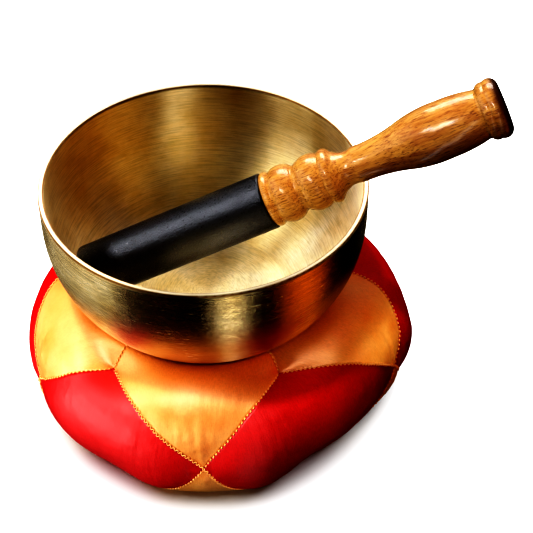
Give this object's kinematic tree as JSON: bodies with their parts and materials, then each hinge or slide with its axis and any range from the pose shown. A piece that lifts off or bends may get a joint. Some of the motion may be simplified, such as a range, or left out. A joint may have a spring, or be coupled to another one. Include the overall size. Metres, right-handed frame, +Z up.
{
  "type": "singing bowl",
  "caption": "Spun brass singing bowl resting in a round patchwork satin cushion, with a turned wooden striker in a black suede sleeve laid across its rim.",
  "frame": {"origin": "on the floor under the middle of the cushion, on the bowl's axis", "axes": "+Z up along the bowl's axis, -Y towards the viewer, +X towards the side where the striker's handle sticks out"},
  "size_m": [0.2315, 0.188, 0.1794],
  "materials": {
    "spun_brass": "spun and brushed round the axis, with a brighter turned rim",
    "gold_satin": "gold satin with a silky sheen",
    "red_satin": "red satin with a silky sheen",
    "seam_thread": "twisted yellow sewing thread",
    "filling": "loose polyester stuffing",
    "varnished_wood": "turned hardwood under glossy varnish",
    "black_suede": "matt black suede with a short nap"
  },
  "bodies": {
    "cushion": {"cushion_filling": "filling", "top_panel_1": "gold_satin", "top_panel_2": "gold_satin", "top_panel_3": "gold_satin", "top_panel_4": "gold_satin", "top_panel_5": "gold_satin", "bottom_panel_1": "gold_satin", "bottom_panel_2": "gold_satin", "bottom_panel_3": "gold_satin", "bottom_panel_4": "gold_satin", "bottom_panel_5": "gold_satin", "side_panel_1": "red_satin", "side_panel_2": "red_satin", "side_panel_3": "red_satin", "side_panel_4": "red_satin", "side_panel_5": "red_satin", "upper_seam_thread": "seam_thread", "lower_seam_thread": "seam_thread", "top_seam_thread": "seam_thread", "bottom_seam_thread": "seam_thread"},
    "bowl": {"bowl": "spun_brass"},
    "striker": {"striker_handle": "varnished_wood", "striker_sleeve": "black_suede", "striker_end_cap": "black_suede"}
  },
  "joints": [
    {"name": "bowl_lift", "type": "slide", "parent": "cushion", "child": "bowl", "axis": [0, 0, 1], "range_m": [0, 0.12]},
    {"name": "striker_lift", "type": "slide", "parent": "bowl", "child": "striker", "axis": [0, 0, 1], "range_m": [0, 0.15]}
  ]
}
